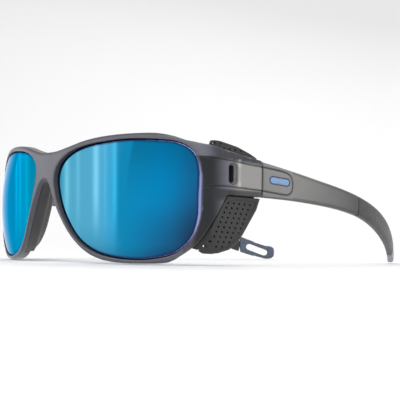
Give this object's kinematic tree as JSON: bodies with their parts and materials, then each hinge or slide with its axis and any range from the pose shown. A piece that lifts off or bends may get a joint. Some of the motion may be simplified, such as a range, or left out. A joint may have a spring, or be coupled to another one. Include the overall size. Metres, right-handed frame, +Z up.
{
  "type": "glacier glasses",
  "caption": "Wrap-around mountain sunglasses with mirrored lenses, folding temples and removable perforated side shields.",
  "frame": {"origin": "centre of the footprint on the surface that the open glasses stand on, halfway from the bridge to the temple tips", "axes": "+X to the wearer's left, -Y out of the front of the lenses, +Z up, standing on both rims and both temple tips"},
  "size_m": [0.1404, 0.1398, 0.0423],
  "materials": {
    "frame": "matte translucent smoke grey",
    "lens": "blue mirror",
    "pad": "satin",
    "shield": "matt, perforated",
    "clip": "matt",
    "sleeve": "fine texture",
    "badge": "satin",
    "steel": "fine brushed"
  },
  "bodies": {
    "front": {"front_frame": "frame", "lens_left": "lens", "lens_right": "lens", "nose_pad_left": "pad", "nose_pad_right": "pad", "frame_hinge_left": "steel", "frame_hinge_right": "steel", "frame_hinge_screws_left": "steel", "frame_hinge_screws_right": "steel", "hinge_pin_left": "steel", "hinge_pin_right": "steel"},
    "left_temple": {"temple_left": "frame", "temple_hinge_left": "steel", "temple_hinge_screws_left": "steel", "ear_sleeve_left": "sleeve", "badge_left": "badge"},
    "right_temple": {"temple_right": "frame", "temple_hinge_right": "steel", "temple_hinge_screws_right": "steel", "ear_sleeve_right": "sleeve", "badge_right": "badge"},
    "left_shield": {"side_shield_left": "shield", "shield_clip_left": "clip"},
    "right_shield": {"side_shield_right": "shield", "shield_clip_right": "clip"}
  },
  "joints": [
    {"name": "left_temple_fold", "type": "hinge", "parent": "front", "child": "left_temple", "pos_m": [0.0631, -0.02707, 0.0275], "axis": [0, 0, 1], "range_deg": [0, 90]},
    {"name": "right_temple_fold", "type": "hinge", "parent": "front", "child": "right_temple", "pos_m": [-0.0631, -0.02707, 0.0275], "axis": [0, 0, -1], "range_deg": [0, 76]},
    {"name": "left_shield_pull", "type": "slide", "parent": "front", "child": "left_shield", "axis": [-1, 0, 0], "range_m": [0, 0.01]},
    {"name": "right_shield_pull", "type": "slide", "parent": "front", "child": "right_shield", "axis": [1, 0, 0], "range_m": [0, 0.01]}
  ]
}
